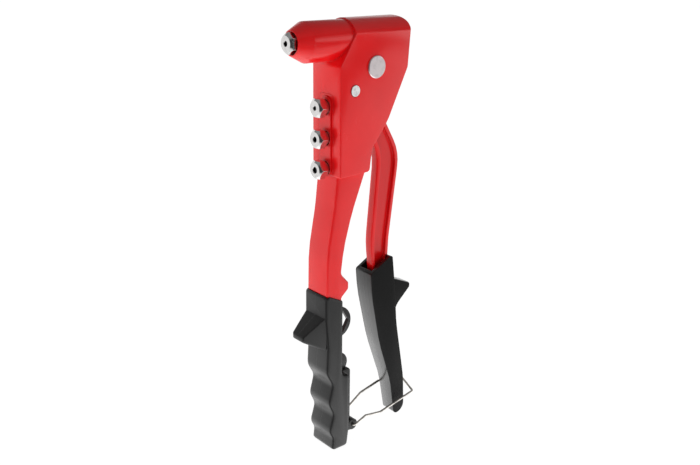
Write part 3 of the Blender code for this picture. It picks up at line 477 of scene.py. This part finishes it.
def nosepiece(name, turn, hole):
    """A nosepiece with a mandrel hole and a chamfered hexagon, its flats turned from the sides."""
    low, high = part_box(name)
    height = axis_height(name)
    seat = high.x - NOSEPIECE_HEX_LENGTH
    corners = []
    for sector in range(NOSEPIECE_SECTORS):
        angle = 2.0 * math.pi * sector / NOSEPIECE_SECTORS
        from_flat = (angle - turn + HEX_HALF_ANGLE) % (2.0 * HEX_HALF_ANGLE) - HEX_HALF_ANGLE
        reach = NOSEPIECE_FLATS / 2.0 / math.cos(from_flat)
        chamfer = NOSEPIECE_CHAMFER_SLOPE * (reach - NOSEPIECE_FACE_RADIUS)
        profile = (
            (hole, low.x),
            (NOSEPIECE_SHANK_RADIUS, low.x),
            (NOSEPIECE_SHANK_RADIUS, seat),
            (reach, seat),
            (reach, high.x - chamfer),
            (NOSEPIECE_FACE_RADIUS, high.x),
            (hole + NOSEPIECE_HOLE_EDGE, high.x),
            (hole, high.x - NOSEPIECE_HOLE_EDGE),
        )
        for radius, x in profile:
            corners.append((x, radius * math.cos(angle), height + radius * math.sin(angle)))
    rings = len(profile)
    faces = []
    for sector in range(NOSEPIECE_SECTORS):
        here = sector * rings
        following = (sector + 1) % NOSEPIECE_SECTORS * rings
        for ring in range(rings):
            ahead = (ring + 1) % rings
            faces.append((here + ring, here + ahead, following + ahead, following + ring))
    mesh = bpy.data.meshes.new(name + "_form")
    mesh.from_pydata(corners, [], faces)
    return new_piece(name + "_form", mesh, "frame", name)


def rounded_loop(curve, width, top, foot, top_corner, foot_corner):
    """Add a closed upright shape with round corners to a flat curve, about its middle."""
    side = width / 2.0
    points = []
    corners = (
        (1, top, -1, top_corner),
        (-1, top, -1, top_corner),
        (-1, foot, 1, foot_corner),
        (1, foot, 1, foot_corner),
    )
    for turn, (across, height, inward, corner) in enumerate(corners):
        centre = Vector((across * (side - corner), height + inward * corner))
        for step in range(CORNER_STEPS + 1):
            angle = QUARTER_TURN * (turn + step / CORNER_STEPS)
            points.append(centre + corner * Vector((math.cos(angle), math.sin(angle))))
    spline = curve.splines.new("POLY")
    spline.points.add(len(points) - 1)
    for spot, point in zip(spline.points, points):
        spot.co = (point.x, point.y, 0.0, 1.0)
    spline.use_cyclic_u = True


def rack_plate(name, rear, front, *outline):
    """An upright plate on the casting's front, with the three threaded holes of the spare nosepieces."""
    curve = bpy.data.curves.new(name, "CURVE")
    curve.dimensions = "2D"
    curve.fill_mode = "BOTH"
    curve.extrude = (front - rear) / 2.0
    rounded_loop(curve, *outline)
    hole = THREAD_HOLE_RADIUS
    for spare in SPARES:
        height = axis_height(spare)
        rounded_loop(curve, 2.0 * hole, height + hole, height - hole, hole, hole)
    drawn = bpy.data.objects.new(name + "_curve", curve)
    mesh = bpy.data.meshes.new_from_object(drawn)
    bpy.data.objects.remove(drawn)
    mesh.transform(Matrix.Rotation(QUARTER_TURN, 4, "Z") @ Matrix.Rotation(QUARTER_TURN, 4, "X"))
    mesh.transform(Matrix.Translation((HEAD_FRONT_X + (front + rear) / 2.0, 0.0, 0.0)))
    return new_piece(name, mesh, "frame")


def rack():
    """The flush face and the raised pad behind the spare nosepieces."""
    face = (FACE_WIDTH, FACE_TOP_Z, FACE_FOOT_Z, FACE_TOP_CORNER, FACE_FOOT_CORNER)
    pad = (PAD_WIDTH, PAD_TOP_Z, PAD_FOOT_Z, PAD_TOP_CORNER, PAD_FOOT_CORNER)
    return {
        "rack_face": rack_plate("rack_face", -FACE_DEPTH, 0.0, *face),
        "rack_pad": rack_plate("rack_pad", 0.0, PAD_PROUD, *pad),
    }


def nosepieces():
    """The fitted nosepiece with its flats to the sides, and the spares with their corners to the sides."""
    pieces = {"fitted_nosepiece": nosepiece("fitted_nosepiece", 0.0, FITTED_HOLE_RADIUS)}
    for name, hole in zip(SPARES, SPARE_HOLE_RADII):
        pieces[name] = nosepiece(name, HEX_HALF_ANGLE, hole)
    return pieces


def jaw_spring():
    """The jaw spring as a piece of its own on the draw body, with its own copy of the mesh."""
    piece = new_piece("jaw_spring_coil", nodes["jaw_spring"].data.copy(), "draw", "jaw_spring")
    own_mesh(piece)
    return piece


def dress():
    """Make the new pieces and give each piece its finish."""
    pieces = dict(nodes)
    pieces.update(nosepieces())
    pieces["jaw_spring"] = jaw_spring()
    plates = rack()
    pieces.update(plates)
    nose = (None, NOSE_AXIS_Z)
    looks = {
        "body_casting": red_enamel("casting_enamel", 0.0),
        # The last number is the painted shade in the lever's recessed panel
        "lever": red_enamel("lever_enamel", 0.8, 1.0),
        "front_grip": black_moulding("front_grip_moulding", 0.012, 0.0, 0.30, 0.38, 0.3, FRONT_GRIP_GROOVE_Y),
        "lever_grip": black_moulding("lever_grip_moulding", 0.005, 1.0, 0.24, 0.62, 5.0),
        "fitted_nosepiece": turned_steel("nosepiece_steel", BRIGHT_STEEL, 0.10, nose),
        "pivot_rivet": turned_steel("rivet_steel", RIVET_STEEL, 0.26, PIVOT, PIN_RING),
        "stop_pin": turned_steel("stop_pin_steel", STOP_PIN_STEEL, 0.10, STOP, PIN_RING, STOP_PIN_RELIEF),
        "rear_plug": turned_steel("plug_steel", PLAIN_STEEL, 0.30, nose),
        "jaw_case": turned_steel("jaw_case_steel", PLAIN_STEEL, 0.28, nose),
        "jaw_upper": turned_steel("upper_jaw_steel", PLAIN_STEEL, 0.34, nose),
        "jaw_lower": turned_steel("lower_jaw_steel", PLAIN_STEEL, 0.34, nose),
        "jaw_pusher": turned_steel("pusher_steel", PLAIN_STEEL, 0.30, nose),
        "draw_rod": turned_steel("draw_rod_steel", PLAIN_STEEL, 0.30, nose),
        "lock_nut": turned_steel("lock_nut_steel", PLAIN_STEEL, 0.32, nose),
        "jaw_spring": drawn_wire("spring_wire", SPRING_WIRE),
        "latch_bail": drawn_wire("bail_wire", BAIL_WIRE),
        "spanner": black_oxide("spanner_black"),
    }
    for name in SPARES:
        looks[name] = turned_steel(name + "_steel", BRIGHT_STEEL, 0.10, (None, axis_height(name)))
    for name in plates:
        looks[name] = looks["body_casting"]
    for name, look in looks.items():
        mesh = pieces[name].data
        mesh.materials.clear()
        mesh.materials.append(look)


def towards(way, x, y):
    """How far a place or a direction lies along one way across the table."""
    return x * way[0] + y * way[1]


def table():
    """White table that keeps the tool's shadow. Mirrored, it is bright near the tool, dark by the camera."""
    mesh = bpy.data.meshes.new("table")
    signs = ((-1, -1), (1, -1), (1, 1), (-1, 1))
    mesh.from_pydata([(x * TABLE_REACH, y * TABLE_REACH, 0.0) for x, y in signs], [], [(0, 1, 2, 3)])
    top = bpy.data.objects.new("table", mesh)
    top.location.z = -TABLE_DROP
    scene.collection.objects.link(top)
    made, white = material("white_table")
    rays = white.node("ShaderNodeLightPath", {}, {})
    seen = (rays[CAMERA_RAY] + rays[TRANSMISSION_RAY]).clamped()
    mirrored = rays[GLOSSY_RAY] * (1.0 - seen)
    bounced = (1.0 - seen) * (1.0 - mirrored)
    x, y, _ = white.parts(white.point())
    unlit = towards(CAMERA_WAY, x, y).step(*TABLE_UNLIT)
    near = 1.0 - distance(x, y).step(*TABLE_NEAR)
    reflected = (TABLE_MIRRORED + TABLE_MIRRORED_NEAR * near) * (1.0 - TABLE_UNLIT_LOSS * unlit)
    spread = TABLE_BOUNCED + TABLE_BOUNCED_NEAR * near
    level = TABLE_SEEN * seen + mirrored * reflected + bounced * spread
    shade = TABLE_MATT_SEEN * seen + TABLE_MATT_BOUNCED * bounced
    matt = white.node("ShaderNodeBsdfDiffuse", {}, {"Color": shade})[0]
    glow = white.node("ShaderNodeEmission", {}, {"Color": (1.0, 1.0, 1.0), "Strength": level})[0]
    white.surface(white.node("ShaderNodeAddShader", {}, {0: matt, 1: glow})[0])
    mesh.materials.append(made)


def studio():
    """Even room light. Mirrored, it has a dim ceiling, a dark side by the camera and a bright panel."""
    world = bpy.data.worlds.new("studio")
    world.use_nodes = True
    scene.world = world
    room = Finish(world.node_tree)
    rays = room.node("ShaderNodeLightPath", {}, {})
    seen = (rays[CAMERA_RAY] + rays[TRANSMISSION_RAY]).clamped()
    mirrored = rays[GLOSSY_RAY]
    x, y, z = room.parts(room.node("ShaderNodeTexCoord", {}, {})[WORLD_WAY])
    ceiling = z.step(0.45, 0.70)
    wall = (1.0 - towards(CAMERA_WAY, x, y).step(-0.45, 0.05)) * (1.0 - z.step(0.35, 0.60))
    panel = towards(PANEL_WAY, x, y).step(0.78, 0.90) * z.step(0.03, 0.10) * (1.0 - z.step(0.20, 0.55))
    glossy = ROOM_DARK + ROOM_CEILING * ceiling + ROOM_WALL * wall + ROOM_PANEL * panel
    even = ROOM_EVEN - ROOM_EVEN_LOSS * z.step(0.0, 0.8)
    level = seen + (1.0 - seen) * (mirrored * glossy + (1.0 - mirrored) * even)
    shade = room.node("ShaderNodeBackground", {}, {"Color": (1.0, 1.0, 1.0), "Strength": level})[0]
    room.node("ShaderNodeOutputWorld", {}, {"Surface": shade})

    for name, spot, width, power in LAMPS:
        lamp = bpy.data.lights.new(name, "AREA")
        lamp.size = width
        lamp.energy = power
        light = bpy.data.objects.new(name, lamp)
        light.location = spot
        light.rotation_euler = (Vector(LAMP_AIM) - Vector(spot)).to_track_quat("-Z", "Y").to_euler()
        light.visible_glossy = False
        scene.collection.objects.link(light)


def camera():
    """Camera at the photograph's place, fitted to the tool's edges."""
    lens = bpy.data.cameras.new("camera")
    lens.lens = CAMERA_LENS
    lens.sensor_width = CAMERA_SENSOR
    lens.clip_start = CAMERA_CLIP
    turn = math.radians(CAMERA_TURN)
    rise = math.radians(CAMERA_RISE)
    roll = math.radians(CAMERA_ROLL)
    back = Vector((math.sin(turn) * math.cos(rise), -math.cos(turn) * math.cos(rise), math.sin(rise)))
    right = Vector((0.0, 0.0, 1.0)).cross(back).normalized()
    up = back.cross(right)
    facing = Matrix((right, up, back)).transposed() @ Matrix.Rotation(roll, 3, "Z")
    view = bpy.data.objects.new("camera", lens)
    view.matrix_world = Matrix.Translation(CAMERA_PLACE) @ facing.to_4x4()
    scene.collection.objects.link(view)
    scene.camera = view


smooth_edges()
dress()
table()
studio()
camera()
